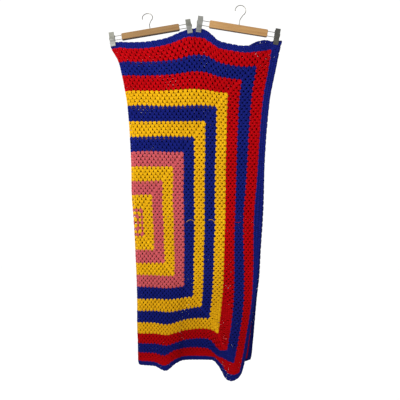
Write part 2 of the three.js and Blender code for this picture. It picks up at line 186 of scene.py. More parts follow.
# One cluster of three posts, at the foot, waist and head: in rounds, how far out it reaches and how far each
# side post stands from the middle one; in mm, its half width, its half depth and its offset from the cloth's
# middle. The second row of numbers is for fuller stitches, whose holes are smaller: see fullness.
CLUSTER_PITCH = 2.0
POST_REACH = np.array([(-1.14, -0.56, -0.08), (-1.12, -0.56, -0.08)])
POST_SPREAD = np.array([(0.28, 0.47, 0.65), (0.54, 0.65, 0.67)])
POST_SIDE = np.array([(2.2, 2.9, 3.75), (3.7, 4.15, 4.2)])
POST_DEPTH = np.array((1.0, 1.4, 1.0))
POST_OFFSET = np.array([(0.8, 1.1, 0.2), (0.3, 1.0, 0.3)])
POST_SIDES = 5
# In rounds, how much less far out the two side posts reach and how near the centre any post may start. Then
# by what share the first round's clusters are smaller, of which each later round has less.
SIDE_POST_DROP = 0.03
INNERMOST = -0.1
CENTRE_SHRINK = 0.5
# By a corner of a round, how far a cluster leans, and the share of that at its foot, waist and head.
CORNER_LEAN = 0.14
CORNER_SHARES = np.array([-1.0, 0.0, 0.45])
# Yarn follows the cloth's own stretch across its stitches, within these limits.
STRETCH = (0.85, 1.6)

# The chain along the heads: the two heads' ends and the dip to the next cluster. At a round's corner the dip
# is this far inside the corner, in rounds.
CHAIN_PLACE = (-0.55, 0.55, 1.0)
CHAIN_REACH = (-0.05, -0.05, -0.24)
CHAIN_OFFSET = (0.9, 0.9, -0.6)
CHAIN_SIDE = (1.5, 1.5, 1.1)
CHAIN_DEPTH = (1.0, 1.0, 0.7)
CHAIN_SIDES = 4
CHAIN_INSIDE_CORNER = 0.16

# Where the clips hold the cloth, by what share the stitches lie closer to its middle and are flatter.
HELD_LIFT = 0.75
HELD_POST_DEPTH = 0.45
HELD_CHAIN_DEPTH = 0.4

# How uneven hand work is: places, in rounds, sizes, as shares, and offsets, in mm.
JITTER = 0.045
SIZE_JITTER = 0.03
DEPTH_JITTER = 0.06
CHAIN_JITTER = 0.05
OFFSET_JITTER = 0.25

# A slow wander of the rows: how far, over how many rounds it starts at the edges and the centre, how many
# waves it has each way, and their paces, in radians for each round.
WANDER = 0.09
WANDER_FADE = 3
WAVE_COUNT = 5
WAVE_PACES = (0.10, 0.45)
# The back layer's stitches hang one round lower than the front's, so the holes don't fall on each other. The
# ramps say across which rounds this starts: from the fold to the back, and from the hem and the top inwards.
BACK_SAG = 1.0
BACK_RAMP = (-0.5, 3)
SAG_RAMP = (0, 6)

# Where the stitches have slid on the sheet, as round the crease at the front's lower corner, in rounds:
# centre, reach and slide, each across and up, and the share of it on the back layer. A slide fades within
# SLIDE_FADE rounds of the free edges, and of the hem and the top.
SLIDES = [
    (53, -38, 9, 20, 2.5, 0, 1),
    (57, 3, 6, 14, -1.2, 0, 1),
    (46.5, -51, 3.6, 7.5, 0, -4.7, 0),
    (20, -58, 4, 5, 0, 2.0, 0),
    (18, -50, 24, 12, 0, 0.5, 1),
    (54, 52, 15, 24, 0, -1.15, 1),
    (46, 40, 6, 14, -0.6, 0, 1),
]
SLIDE_FADE = (2, 8)

# Where the stitches are fuller. Behind: places across, from the fold to the back. Alone: places across the
# front and below which round it hangs alone there, with no back layer to be seen through it. Border: rounds.
# Closed: centre and reach over the crease, each across and up, and how near the centre it starts.
BEHIND_RAMP = (-3, -1)
HANGS_ALONE = np.array([
    (0, 57.5),
    (10, 57),
    (15, 55.5),
    (20, 57.5),
    (45, 57),
    (49, 50),
    (54, 48.5),
    (63, 48.5),
]).T
ALONE_RAMP = (0, 2.0)
BORDER_RAMP = (ROUNDS - 3.5, ROUNDS - 2.5)
CLOSED = (48, -42, 6.5, 11)
CLOSED_RAMP = (0.2, 0.6)

# The share of light, lessening its painted shade, that the inside of the fold gets by its open edges and by
# its turn, and in which rounds.
EDGE_LIGHT = 0.75
EDGE_RAMP = (ROUNDS - 6, ROUNDS - 2)
TURN_LIGHT = 0.5
TURN_RAMP = (8, 26)

# Yarn ends left loose on the front where a colour begins: places across and up the sheet, in rounds, and, in
# mm, their offset from the cloth's middle and their radius.
LOOSE_ENDS = {
    "band_06_yellow": [
        (26.1, 0.1), (26.7, 0.6), (27.4, 0.9), (28.4, 1.0), (29.2, 0.8), (29.9, 0.4), (30.8, 0.1)],
    "band_08_yellow": [
        (40.6, 0.2), (39.9, 0.0), (39.5, 0.5), (38.9, 0.9), (38.1, 1.1), (37.4, 1.0), (36.8, 0.8)],
    "band_09_red": [
        (45.9, 0.2), (47.4, 0.1), (48.9, 0.0), (50.4, 0.1), (51.6, 0.0), (52.8, 0.3)],
}
LOOSE_OFFSET = 2.8
LOOSE_RADIUS = 0.85

# The yarn's own length, in mm, for its twist: where a post may start on it, and in each part of a post or a
# chain.
YARN_STARTS = 9
POST_PART = 0.58 * ROUND_HEIGHT
CHAIN_PART = CLUSTER_PITCH * ROUND_HEIGHT / len(CHAIN_PLACE)

# Where a tube's section has its first corner, as a share of a side.
FIRST_CORNER = 0.25
# How far apart the cloth's slope is measured, in mm.
SLOPE_STEP = 0.5

rng = np.random.default_rng(63)


def smoothstep(value, low, high):
    t = np.clip((value - low) / (high - low), 0, 1)
    return t * t * (3 - 2 * t)


def curve(places, values, at):
    """The part's smooth reading of a table.

    values has one row for each place, and either one column or one for each point that is read.
    """
    values = np.asarray(values, float)
    if values.ndim == 1:
        values = values[:, None]
    rise = (values[1:] - values[:-1]) / np.diff(places)[:, None]
    slope = np.concatenate([rise[:1], np.zeros_like(rise[1:]), rise[-1:]])
    before, after = rise[:-1], rise[1:]
    same = before * after > 0
    slope[1:-1] = np.where(same, 2 * before * after / np.where(same, before + after, 1), 0)
    row = np.searchsorted(places[1:-1], at, side="left")
    column = np.arange(len(at)) if values.shape[1] > 1 else np.zeros(len(at), int)
    span = places[row + 1] - places[row]
    t = np.clip((at - places[row]) / span, 0, 1)
    low, high = values[row, column], values[row + 1, column]
    bend = (1 - t) * slope[row, column] - t * slope[row + 1, column]
    return low + (high - low) * t * t * (3 - 2 * t) + span * t * (1 - t) * bend


def fold_depth(folds, across, level):
    top, middle, knee, hem = (curve(folds[0], folds[k], across) for k in (1, 2, 3, 4))
    return curve(HEM_TO_TOP, np.stack([hem, knee, middle, top]), level)


def layer_height(side, across, level):
    below = (ROUNDS - level) * ROUND_HEIGHT
    rise = curve(TOP_EDGE[0], TOP_EDGE[1 if side == "front" else 2], across)
    rise = rise * np.exp(-((np.maximum(below, 0) / TOP_EDGE_REACH) ** TOP_EDGE_FADE))
    nothing = np.zeros(len(across))
    knee = curve(DROOP[0], DROOP[1], across) if side == "front" else nothing
    hem = curve(DROOP[0], DROOP[2 if side == "front" else 3], across)
    droop = curve(HEM_TO_TOP, np.stack([hem, knee, nothing, nothing]), level)
    return curve(HANG_ROUND, HANG_Z, level) + rise - droop


def hanger_turn(hanger):
    lean = Euler((math.radians(-hanger["lean"]), 0, 0)).to_matrix()
    roll = Euler((0, math.radians(hanger["roll"]), 0)).to_matrix()
    return roll @ lean


def hanger_middle(hanger):
    away = JAW_BELOW_BAR * math.sin(math.radians(hanger["lean"]))
    return Vector((hanger["x"], away, hanger["z"]))


def find_jaws():
    found = []
    for hanger in HANGERS.values():
        for end in (-1, 1):
            across = end * (BAR_LENGTH / 2 + CLIP_FROM_BAR + CLIP_WIDTH / 2)
            tip = hanger_turn(hanger) @ Vector((across, 0, -JAW_BELOW_BAR))
            found.append((hanger, hanger["x"] + tip.x, hanger["z"] + tip.z))
    return found


JAWS = find_jaws()


def pinch_at(x, z):
    """How firmly a clip holds the cloth there, from 0 to 1, and the depth of the plane that it's held in."""
    held, depth, weight = (np.zeros(len(x)) for _ in range(3))
    for hanger, jaw_x, jaw_z in JAWS:
        aside = np.abs(x - jaw_x)
        hold = (1 - smoothstep(aside, PINCH_FLAT, PINCH_FADE)) * (
            1 - smoothstep(jaw_z - z, PINCH_BELOW, PINCH_BELOW_FADE))
        roll = math.radians(hanger["roll"])
        up = np.maximum((x - jaw_x) * math.sin(roll) + (z - jaw_z) * math.cos(roll), -PINCH_BELOW)
        share = 1 / (1 + (aside / PINCH_SHARE) ** PINCH_SHARE_POWER)
        held = np.maximum(held, hold)
        depth += share * up * math.tan(math.radians(hanger["lean"]))
        weight += share
    return held, depth / weight


def layer_point(side, level, across, turn):
    start = curve(HANG_ROUND, HANG_FOLD, level) + turn
    edge = curve(HANG_ROUND, HANG_FRONT if side == "front" else HANG_BACK, level)
    x = start + (edge - start) * across
    z = layer_height(side, across, level)
    away = -1 if side == "front" else 1
    held, depth = pinch_at(x, z)
    pinched = depth + away * (PINCHED_THICKNESS + PINCHED_LAYER_GAP) / 2
    free = fold_depth(FRONT_FOLDS if side == "front" else BACK_FOLDS, across, level)
    return np.stack([x, free + (pinched - free) * held, z], axis=1)


def middle_surface(along, level):
    """Points of the blanket's middle surface, in mm. along runs from the back's free edge round the fold."""
    along = np.clip(along, -HALF, HALF)
    level = np.clip(level, -ROUNDS, ROUNDS)
    nothing = np.zeros(len(along))
    front = layer_point("front", level, nothing, nothing)
    back = layer_point("back", level, nothing, nothing)
    turn = (back[:, 1] - front[:, 1]) / 2
    quarter = turn * math.pi / 2
    across = np.clip((np.abs(along) - quarter) / (HALF - quarter), 0, 1)
    angle = np.clip(along / turn, -math.pi / 2, math.pi / 2)
    points = np.stack([
        front[:, 0] + turn * (1 - np.cos(angle)),
        front[:, 1] + turn * (1 - np.sin(angle)),
        back[:, 2] + (front[:, 2] - back[:, 2]) * (1 + np.sin(angle)) / 2,
    ], axis=1)
    for side, chosen in (("front", along >= quarter), ("back", along <= -quarter)):
        points[chosen] = layer_point(side, level[chosen], across[chosen], turn[chosen])
    return points


def on_blanket(place_a, place_b):
    """Points, outward normals, how firmly each is held, and the cloth's stretch across and upwards.

    The places are counted in rounds from the centre.
    """
    along = np.clip(place_a * ROUND_HEIGHT, -HALF, HALF)
    level = np.clip(place_b, -ROUNDS, ROUNDS)
    points = middle_surface(along, level)
    before = np.maximum(along - SLOPE_STEP, -HALF)
    after = np.minimum(along + SLOPE_STEP, HALF)
    sideways = middle_surface(after, level) - middle_surface(before, level)
    across = np.linalg.norm(sideways, axis=1) / (after - before)
    before = np.maximum(level - SLOPE_STEP / ROUND_HEIGHT, -ROUNDS)
    after = np.minimum(level + SLOPE_STEP / ROUND_HEIGHT, ROUNDS)
    upwards = middle_surface(along, after) - middle_surface(along, before)
    rise = np.linalg.norm(upwards, axis=1) / (after - before) / ROUND_HEIGHT
    normal = np.cross(sideways, upwards)
    normal /= np.linalg.norm(normal, axis=1, keepdims=True)
    held, _ = pinch_at(points[:, 0], points[:, 2])
    return points, normal, held, np.stack([across, rise], axis=1)


# The waves of the rows' wander: paces across and up, phase, and whether it moves them across or up, 0 or 1.
WAVES = [(rng.uniform(*WAVE_PACES, 2) * rng.choice([-1, 1], 2), rng.uniform(0, 2 * math.pi), way)
         for way in (0, 1) for _ in range(WAVE_COUNT)]


def nearness(place_a, place_b, centre_a, centre_b, reach_a, reach_b):
    """1 at a centre, and less and less away from it."""
    return np.exp(-((place_a - centre_a) / reach_a) ** 2 - ((place_b - centre_b) / reach_b) ** 2)


def wander(place_a, place_b):
    """Where the stitches of an even net are found on the sheet."""
    shift_a, shift_b = np.zeros(place_a.shape), np.zeros(place_a.shape)
    for pace, phase, way in WAVES:
        wave = WANDER / 2 * np.sin(place_a * pace[0] + place_b * pace[1] + phase)
        if way:
            shift_b += wave
        else:
            shift_a += wave
    farthest = np.maximum(np.abs(place_a), np.abs(place_b))
    loose = np.clip((ROUNDS - farthest) / WANDER_FADE, 0, 1) * np.clip(farthest / WANDER_FADE, 0, 1)
    shift_a, shift_b = shift_a * loose, shift_b * loose
    free_a = np.clip((ROUNDS - np.abs(place_a)) / SLIDE_FADE[0], 0, 1)
    free_b = np.clip((ROUNDS - np.abs(place_b)) / SLIDE_FADE[1], 0, 1)
    for centre_a, centre_b, reach_a, reach_b, slide_a, slide_b, share in SLIDES:
        near = nearness(np.abs(place_a), place_b, centre_a, centre_b, reach_a, reach_b)
        near *= np.where(place_a < 0, share, 1)
        shift_a += slide_a * near * free_a * np.sign(place_a)
        shift_b += slide_b * near * free_b
    sag = BACK_SAG * slackness(place_a) * smoothstep(ROUNDS - np.abs(place_b), *SAG_RAMP)
    return place_a + shift_a, place_b + shift_b - sag


def to_flat(side, along, out):
    """A place on one of the four sides of a round, as places across and up the flat square."""
    turned = [(along, out), (out, -along), (-along, -out), (-out, along)]
    a, b = (np.choose(side, [t[k] for t in turned]) for k in (0, 1))
    return wander(a, b)


def slackness(place_a):
    """0 on the front layer and 1 on the back one."""
    return smoothstep(-place_a, *BACK_RAMP)


def fullness(place_a, place_b, number):
    """How full the stitches are: 1 at and behind the fold and in a few places on the front, and else 0."""
    behind = smoothstep(-place_a, *BEHIND_RAMP)
    alone = smoothstep(-place_b - np.interp(place_a, *HANGS_ALONE), *ALONE_RAMP)
    border = smoothstep(number, *BORDER_RAMP)
    closed = smoothstep(nearness(place_a, place_b, *CLOSED), *CLOSED_RAMP)
    return np.maximum(np.maximum(behind, alone), np.maximum(border, closed))


def clusters_of(rounds):
    """Side, place along the side and round of each cluster, in order round each round."""
    sides, places, numbers = [], [], []
    for number in rounds:
        along = (np.arange(number) - (number - 1) / 2) * CLUSTER_PITCH
        for side in range(4):
            sides.append(np.full(number, side))
            places.append(along)
            numbers.append(np.full(number, number))
    return np.concatenate(sides), np.concatenate(places), np.concatenate(numbers)


def section_angles(sides):
    return 2 * math.pi * (np.arange(sides) + FIRST_CORNER) / sides


def tubes(centres, normals, side_radius, depth_radius, sides, closed_loop):
    """Points of tubes along centres, which are (tubes, rings, 3), with a flattened round section."""
    if closed_loop:
        tangent = np.roll(centres, -1, axis=1) - np.roll(centres, 1, axis=1)
    else:
        tangent = np.gradient(centres, axis=1)
    tangent /= np.linalg.norm(tangent, axis=2, keepdims=True)
    across = np.cross(normals, tangent)
    across /= np.linalg.norm(across, axis=2, keepdims=True)
    out = np.cross(tangent, across)
    angle = section_angles(sides)
    return (centres[:, :, None]
            + (side_radius[..., None] * np.cos(angle))[..., None] * across[:, :, None]
            + (depth_radius[..., None] * np.sin(angle))[..., None] * out[:, :, None])


def tube_faces(count, rings, sides, closed_loop, first):
    """Quads round each tube and, where it is open, flat ends of triangles, with a uv for each corner."""
    ring = np.arange(rings if closed_loop else rings - 1)
    tube, ring, corner = (g.ravel() for g in np.meshgrid(
        np.arange(count), ring, np.arange(sides), indexing="ij"))
    upper = (ring + 1) % rings
    beside = (corner + 1) % sides

    def vertex(r, c):
        return first + (tube * rings + r) * sides + c

    quads = np.stack([vertex(ring, corner), vertex(ring, beside), vertex(upper, beside),
                      vertex(upper, corner)], axis=1)
    u = np.stack([corner, corner + 1, corner + 1, corner], axis=1) / sides
    v = np.stack([ring, ring, ring + 1, ring + 1], axis=1).astype(float)
    caps = []
    if not closed_loop:
        start = first + np.arange(count) * rings * sides
        end = start + (rings - 1) * sides
        for k in range(1, sides - 1):
            caps.append(np.stack([start, start + k + 1, start + k], axis=1))
            caps.append(np.stack([end, end + k, end + k + 1], axis=1))
    return quads, np.stack([u, v], axis=2), (np.concatenate(caps) if caps else np.zeros((0, 3), int))


def painted_fold_shade_of(hidden, sides):
    """Each tube point's painted shade: 0 on the outside of the fold and, inside it, how hidden from light it
    is.
    """
    inner = np.sin(section_angles(sides)) < 0
    return (hidden[..., None] * inner).astype(np.float32).ravel()


def hidden_at(place_a, place_b):
    """How hidden from light the inside of the fold is: fully, but for the rounds by its edges and turn."""
    by_edges = smoothstep(np.maximum(np.abs(place_a), place_b), *EDGE_RAMP)
    by_turn = 1 - smoothstep(np.abs(place_a), *TURN_RAMP)
    return (1 - EDGE_LIGHT * by_edges) * (1 - TURN_LIGHT * by_turn)


def make_mesh(name, points, quads, quad_uv, triangles, inside):
    """A smooth mesh from arrays, in metres."""
    mesh = bpy.data.meshes.new(name)
    mesh.vertices.add(len(points))
    mesh.vertices.foreach_set("co", (points * MM).astype(np.float32).ravel())
    loops = np.concatenate([quads.ravel(), triangles.ravel()]).astype(np.int32)
    mesh.loops.add(len(loops))
    mesh.loops.foreach_set("vertex_index", loops)
    starts = np.concatenate([np.arange(len(quads)) * 4, quads.size + np.arange(len(triangles)) * 3])
    mesh.polygons.add(len(starts))
    mesh.polygons.foreach_set("loop_start", starts.astype(np.int32))
    mesh.polygons.foreach_set("use_smooth", np.ones(len(starts), bool))
    layer = mesh.uv_layers.new(name="yarn")
    uv = np.concatenate([quad_uv.reshape(-1, 2), np.zeros((triangles.size, 2))])
    layer.data.foreach_set("uv", uv.astype(np.float32).ravel())
    mesh.attributes.new("inside", "FLOAT", "POINT").data.foreach_set("value", inside)
    mesh.update(calc_edges=True)
    mesh.validate()
    return mesh


def posts_of(rounds):
    """The posts of some rounds: centres, normals, radii and how hidden they are, as (posts, rings)."""
    side, place, number = clusters_of(rounds)
    count = len(side)
    corner = np.sign(place) * (np.abs(place) > number - CLUSTER_PITCH) * (number > 1)
    cluster_shift = rng.normal(0, JITTER, (count, 1))
    room = 1 - CENTRE_SHRINK / number[:, None]
    cluster_size = room * (1 + rng.normal(0, SIZE_JITTER, (count, 1)))
    full = fullness(*to_flat(side, place, number.astype(float)), number)[:, None]
    wide = (1 - full) * POST_SPREAD[0] + full * POST_SPREAD[1]
    thick = ((1 - full) * POST_SIDE[0] + full * POST_SIDE[1]) * room
    reach = (1 - full) * POST_REACH[0] + full * POST_REACH[1]
    offset = (1 - full) * POST_OFFSET[0] + full * POST_OFFSET[1]
    centres, normals, held, widths, hidden = [], [], [], [], []
    for post in (-1, 0, 1):
        spread = wide * cluster_size
        lean = CORNER_SHARES[None] * (corner * CORNER_LEAN)[:, None]
        along = place[:, None] + lean + post * spread + cluster_shift
        along = along + rng.normal(0, JITTER / 2, along.shape)
        out = number[:, None] + reach - SIDE_POST_DROP * abs(post)
        out = out + rng.normal(0, JITTER / 2, out.shape)
        out = np.maximum(out, INNERMOST)
        a, b = to_flat(np.repeat(side[:, None], 3, axis=1), along, out)
        p, n, h, stretch = on_blanket(a.ravel(), b.ravel())
        h = h.reshape(count, 3, 1)
        across, rise = (stretch[:, k].reshape(count, 3) for k in (0, 1))
        stretch = np.where(side[:, None] % 2, rise, across)
        lift = offset[:, :, None] + rng.normal(0, OFFSET_JITTER, (count, 3, 1))
        centres.append(p.reshape(count, 3, 3) + lift * (1 - HELD_LIFT * h) * n.reshape(count, 3, 3))
        normals.append(n.reshape(count, 3, 3))
        held.append(h[..., 0])
        widths.append(thick * np.clip(stretch, *STRETCH) * (1 + rng.normal(0, SIZE_JITTER, (count, 1))))
        hidden.append(hidden_at(a, b))
    centres, normals, held, side_radius, hidden = (
        np.concatenate(x) for x in (centres, normals, held, widths, hidden))
    sizes = 1 + rng.normal(0, DEPTH_JITTER, (3 * count, 1))
    depth_radius = POST_DEPTH * sizes * (1 - HELD_POST_DEPTH * held)
    return centres, normals, side_radius, depth_radius, hidden


def chain_of(number):
    """The chain round one round: centres, normals, radii and how hidden it is, as (1, rings)."""
    side, place, _ = clusters_of([number])
    count = len(side)
    shift = rng.normal(0, JITTER, (count, 1))
    along = place[:, None] + np.array(CHAIN_PLACE)[None] + shift * np.array([1, 1, 0])
    out = number + np.array(CHAIN_REACH)[None] + rng.normal(0, JITTER / 2, (count, 3))
    last = place > number - CLUSTER_PITCH
    along[last, 2] = number - CHAIN_INSIDE_CORNER
    out[last, 2] = number - CHAIN_INSIDE_CORNER
    a, b = to_flat(np.repeat(side, 3), along.ravel(), out.ravel())
    p, n, h, _ = on_blanket(a, b)
    lift = np.tile(CHAIN_OFFSET, count) * (1 - HELD_LIFT * h)
    centres = (p + lift[:, None] * n)[None]
    sizes = 1 + rng.normal(0, CHAIN_JITTER, 3 * count)
    side_radius = (np.tile(CHAIN_SIDE, count) * sizes)[None]
    depth_radius = (np.tile(CHAIN_DEPTH, count) * sizes * (1 - HELD_CHAIN_DEPTH * h))[None]
    return centres, n[None], side_radius, depth_radius, hidden_at(a, b)[None]


def loose_end(places):
    """A loose end lying on the cloth: centres, normals, radii and how hidden it is, as (1, rings)."""
    a, b = np.array(places).T
    p, n, _, _ = on_blanket(a, b)
    radius = np.full((1, len(places)), LOOSE_RADIUS)
    return (p + LOOSE_OFFSET * n)[None], n[None], radius, radius, np.zeros_like(radius)


def crochet(name, rounds, ends):
    """All the yarn of some rounds and their loose ends, as one mesh."""
    parts = []
    centres, normals, side_radius, depth_radius, hidden = posts_of(rounds)
    points = tubes(centres, normals, side_radius, depth_radius, POST_SIDES, False)
    count, rings = centres.shape[:2]
    quads, uv, caps = tube_faces(count, rings, POST_SIDES, False, 0)
    start = np.repeat(rng.uniform(0, YARN_STARTS, count), (rings - 1) * POST_SIDES)[:, None]
    uv[..., 1] = uv[..., 1] * POST_PART + start
    parts.append((points.reshape(-1, 3), quads, uv, caps, painted_fold_shade_of(hidden, POST_SIDES)))
    first = points.size // 3
    strands = [(chain_of(number), True) for number in rounds]
    strands += [(loose_end(places), False) for places in ends]
    for (centres, normals, side_radius, depth_radius, hidden), closed_loop in strands:
        points = tubes(centres, normals, side_radius, depth_radius, CHAIN_SIDES, closed_loop)
        quads, uv, caps = tube_faces(1, centres.shape[1], CHAIN_SIDES, closed_loop, first)
        uv[..., 1] *= CHAIN_PART
        parts.append((points.reshape(-1, 3), quads, uv, caps, painted_fold_shade_of(hidden, CHAIN_SIDES)))
        first += points.size // 3
    return make_mesh(name, *(np.concatenate(x) for x in zip(*parts)))


# Materials.
def nodes_of(name):
    material = bpy.data.materials.new(name)
    material.use_nodes = True
    tree = material.node_tree
    tree.nodes.clear()
    shader = tree.nodes.new("ShaderNodeBsdfPrincipled")
    output = tree.nodes.new("ShaderNodeOutputMaterial")
    tree.links.new(shader.outputs["BSDF"], output.inputs["Surface"])
    return material, tree, shader


def node(tree, kind, inputs=None, **settings):
    made = tree.nodes.new(kind)
    for key, value in settings.items():
        setattr(made, key, value)
    for key, value in (inputs or {}).items():
        if isinstance(value, bpy.types.NodeSocket):
            tree.links.new(value, made.inputs[key])
        else:
            made.inputs[key].default_value = value
    return made


def math_node(tree, operation, *values, clamp=False):
    made = node(tree, "ShaderNodeMath", dict(enumerate(values)), operation=operation, use_clamp=clamp)
    return made.outputs[0]


def contrast(tree, value, gain):
    """A value round 0.5 with its differences made larger, kept from 0 to 1."""
    return math_node(tree, "MULTIPLY_ADD", math_node(tree, "SUBTRACT", value, 0.5), gain, 0.5, clamp=True)


def noise(tree, vector, scale, detail=2.0, roughness=0.5):
    return node(tree, "ShaderNodeTexNoise", {
        "Vector": vector, "Scale": scale, "Detail": detail, "Roughness": roughness}).outputs["Fac"]


def stretched(tree, vector, scale):
    return node(tree, "ShaderNodeMapping", {"Vector": vector, "Scale": scale}).outputs[0]


def mix(tree, factor, first, second, blend="MIX"):
    made = tree.nodes.new("ShaderNodeMix")
    made.data_type = "RGBA"
    made.blend_type = blend
    for socket, value in ((made.inputs[0], factor), (made.inputs[6], first), (made.inputs[7], second)):
        if isinstance(value, bpy.types.NodeSocket):
            tree.links.new(value, socket)
        else:
            socket.default_value = value
    return made.outputs[2]


def bump(tree, height, distance, strength):
    return node(tree, "ShaderNodeBump", {
        "Height": height, "Distance": distance, "Strength": strength}).outputs["Normal"]


def linear(red, green, blue):
    """A screen colour, 0 to 255, as the renderer's own."""
    def one(value):
        share = value / 255
        return share / 12.92 if share <= 0.04045 else ((share + 0.055) / 1.055) ** 2.4
    return (one(red), one(green), one(blue), 1.0)


# Yarn: its plies, their turns in each mm, and the scales, in each metre, of its slow change of tone over the
# cloth, of the change from stitch to stitch and of its fibres.
PLIES = 3.0
PLY_TWIST = 0.30
SLOW_SCALE = 5.0
STITCH_SCALE = 70.0
FIBRE_SCALE = 900.0
# How strongly the tone changes, the grooves between plies take painted shade and the fibres painted glints,
# above what part of their range they do, and their height as a share of the plies'.
TONE_GAIN = 2.4
GROOVE_SHADE = 0.45
GLINT_SHARE = 0.9
GLINT_FROM = 0.45
FIBRE_HEIGHT = 0.35
# Towards the hem the yarn takes more of its shade colour, as painted shade: from what height, in metres, how
# much more of it for each metre below that, and the most that is taken off its tone.
HEM_PAINTED_SHADE_FROM = -1.1
HEM_PAINTED_SHADE_RATE = 3.0
HEM_PAINTED_SHADE = 0.6


def yarn(name, body, shade, light):
    """Plied yarn: twisted plies with painted shade in their grooves and painted glints on their fibres,
    changes of tone over the cloth and from stitch to stitch, and painted shade towards the hem.

    Inside the fold its colour counts twice, as painted shade, since light there has come off the same yarn
    before.
    """
    material, tree, shader = nodes_of(name)
    coordinates = node(tree, "ShaderNodeTexCoord")
    place = coordinates.outputs["Object"]
    uv = node(tree, "ShaderNodeSeparateXYZ", {0: coordinates.outputs["UV"]})
    turns = math_node(tree, "MULTIPLY", uv.outputs[0], PLIES)
    length = math_node(tree, "MULTIPLY", uv.outputs[1], PLY_TWIST)
    phase = math_node(tree, "MULTIPLY", math_node(tree, "ADD", turns, length), 2 * math.pi)
    ply = math_node(tree, "MULTIPLY_ADD", math_node(tree, "SINE", phase), 0.5, 0.5)
    slow = noise(tree, place, SLOW_SCALE, detail=3.0)
    stitch = noise(tree, place, STITCH_SCALE, detail=1.0)
    fibre = noise(tree, place, FIBRE_SCALE, detail=3.0, roughness=0.65)
    tone = math_node(tree, "MULTIPLY_ADD", slow, 0.5, math_node(tree, "MULTIPLY", stitch, 0.5))
    tone = contrast(tree, tone, TONE_GAIN)
    # Painted shade towards the hem: the tone is lowered below a height.
    height = node(tree, "ShaderNodeSeparateXYZ", {0: place}).outputs[2]
    low = math_node(
        tree, "MULTIPLY_ADD", height, -HEM_PAINTED_SHADE_RATE, HEM_PAINTED_SHADE_RATE * HEM_PAINTED_SHADE_FROM, clamp=True)
    tone = math_node(tree, "SUBTRACT", tone, math_node(tree, "MULTIPLY", low, HEM_PAINTED_SHADE), clamp=True)
    colour = mix(tree, tone, shade, body)
    # Painted shade in the grooves between the plies.
    groove = math_node(tree, "MULTIPLY", math_node(tree, "SUBTRACT", 1.0, ply), GROOVE_SHADE)
    colour = mix(tree, groove, colour, shade)
    # Painted glints: the fibres' tops mixed towards the light colour.
    painted_glint = math_node(tree, "SUBTRACT", fibre, GLINT_FROM, clamp=True)
    colour = mix(tree, math_node(tree, "MULTIPLY", painted_glint, GLINT_SHARE), colour, light)
    # Painted shade inside the fold, on the tubes' inner sides: the colour multiplied by itself.
    inside = node(tree, "ShaderNodeAttribute", attribute_name="inside").outputs["Fac"]
    colour = mix(tree, inside, colour, mix(tree, 1.0, colour, colour, "MULTIPLY"))
    tree.links.new(colour, shader.inputs["Base Color"])
    relief = math_node(tree, "MULTIPLY_ADD", fibre, FIBRE_HEIGHT, ply)
    tree.links.new(bump(tree, relief, distance=0.0007, strength=0.7), shader.inputs["Normal"])
    shader.inputs["Roughness"].default_value = 0.9
    shader.inputs["Specular IOR Level"].default_value = 0.02
    return material


YARNS = {
    "blue": yarn("yarn_blue", linear(18, 27, 106), linear(10, 16, 82), linear(44, 56, 130)),
    "red": yarn("yarn_red", linear(170, 3, 11), linear(136, 1, 5), linear(188, 26, 31)),
    "yellow": yarn("yarn_yellow", linear(212, 164, 10), linear(180, 130, 4), linear(230, 186, 60)),
    "pink": yarn("yarn_pink", linear(184, 80, 86), linear(156, 62, 67), linear(208, 118, 124)),
}


def dress(obj, material):
    obj.data.materials.clear()
    obj.data.materials.append(material)


def add_object(name, mesh, material):
    obj = bpy.data.objects.new(name, mesh)
    scene.collection.objects.link(obj)
    dress(obj, material)
    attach(obj, BODY)
    return obj


for band_name, colour, band_rounds in BANDS:
    ends = [LOOSE_ENDS[band_name]] if band_name in LOOSE_ENDS else []
    mesh = crochet(f"afghan_{band_name}", list(band_rounds), ends)
    band = add_object(mesh.name, mesh, YARNS[colour])
    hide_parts("afghan")


WOOD_LIGHT = linear(143, 112, 68)
WOOD_DARK = linear(119, 86, 46)
WOOD_BLOTCH = linear(108, 74, 36)
WOOD_PORE = linear(86, 56, 28)
# The colour of the painted shade on the bar's underside.
WOOD_UNDER_SHADE = linear(54, 32, 14)
# How fine the grain and the pores are along the bar and the two ways across it, and the blotches all ways.
GRAIN_SCALE = (3.0, 60.0, 60.0)
PORE_SCALE = (25.0, 700.0, 700.0)
BLOTCH_SCALE = 14.0
# How strongly the grain changes and the blotches and pores show, and below what part of its range a pore
# does.
GRAIN_GAIN = 2.2
BLOTCH_SHARE = 0.45
PORE_GAIN = 3.0
PORE_BELOW = 0.42
# How far down a side of the bar must face to take painted shade, and how fast it gets darker.
UNDER_SHADE_FROM = -0.4
UNDER_SHADE_RATE = 3.0


